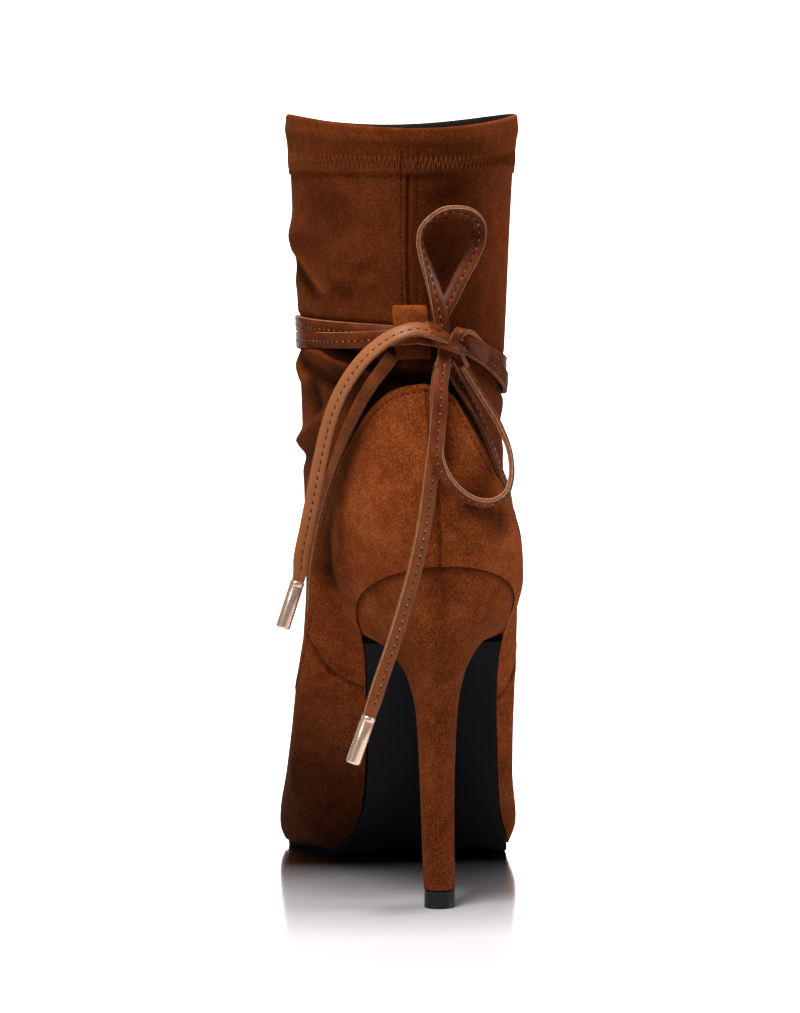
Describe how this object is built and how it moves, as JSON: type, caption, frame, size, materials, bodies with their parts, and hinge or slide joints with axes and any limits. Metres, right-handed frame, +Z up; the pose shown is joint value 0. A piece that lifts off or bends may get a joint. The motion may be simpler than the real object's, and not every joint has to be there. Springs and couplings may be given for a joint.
{
  "type": "stiletto ankle boot",
  "caption": "Pointed suede ankle boot on a slim stiletto heel, with a sock-like shaft and a leather lace wound round the ankle and tied in a bow at the back.",
  "frame": {"origin": "on the floor, under the middle of the heel tip", "axes": "+X to the outer side of the right foot, +Y to the toe, +Z up"},
  "size_m": [0.0963, 0.2414, 0.2662],
  "materials": {
    "suede_cognac": "napped suede",
    "suede_stretch": "napped stretch suede",
    "outsole_rubber": "satin black",
    "insole_board": "smooth lining",
    "heel_tip_plastic": "satin black",
    "lace_leather": "satin, stitched",
    "aglet_rose_gold": "polished rose gold"
  },
  "bodies": {
    "root": {"outsole": "outsole_rubber", "insole": "insole_board", "heel": "suede_cognac", "heel_tip": "heel_tip_plastic", "upper": "suede_cognac", "shaft": "suede_stretch", "keeper_loop": "suede_stretch", "lace_wraps": "lace_leather", "lace_strap_medial": "lace_leather", "lace_strap_lateral": "lace_leather", "lace_knot": "lace_leather", "lace_loop_upper": "lace_leather", "lace_loop_lower": "lace_leather", "lace_end_medial": "lace_leather", "lace_end_lateral": "lace_leather", "aglet_medial": "aglet_rose_gold", "aglet_lateral": "aglet_rose_gold"}
  },
  "joints": []
}
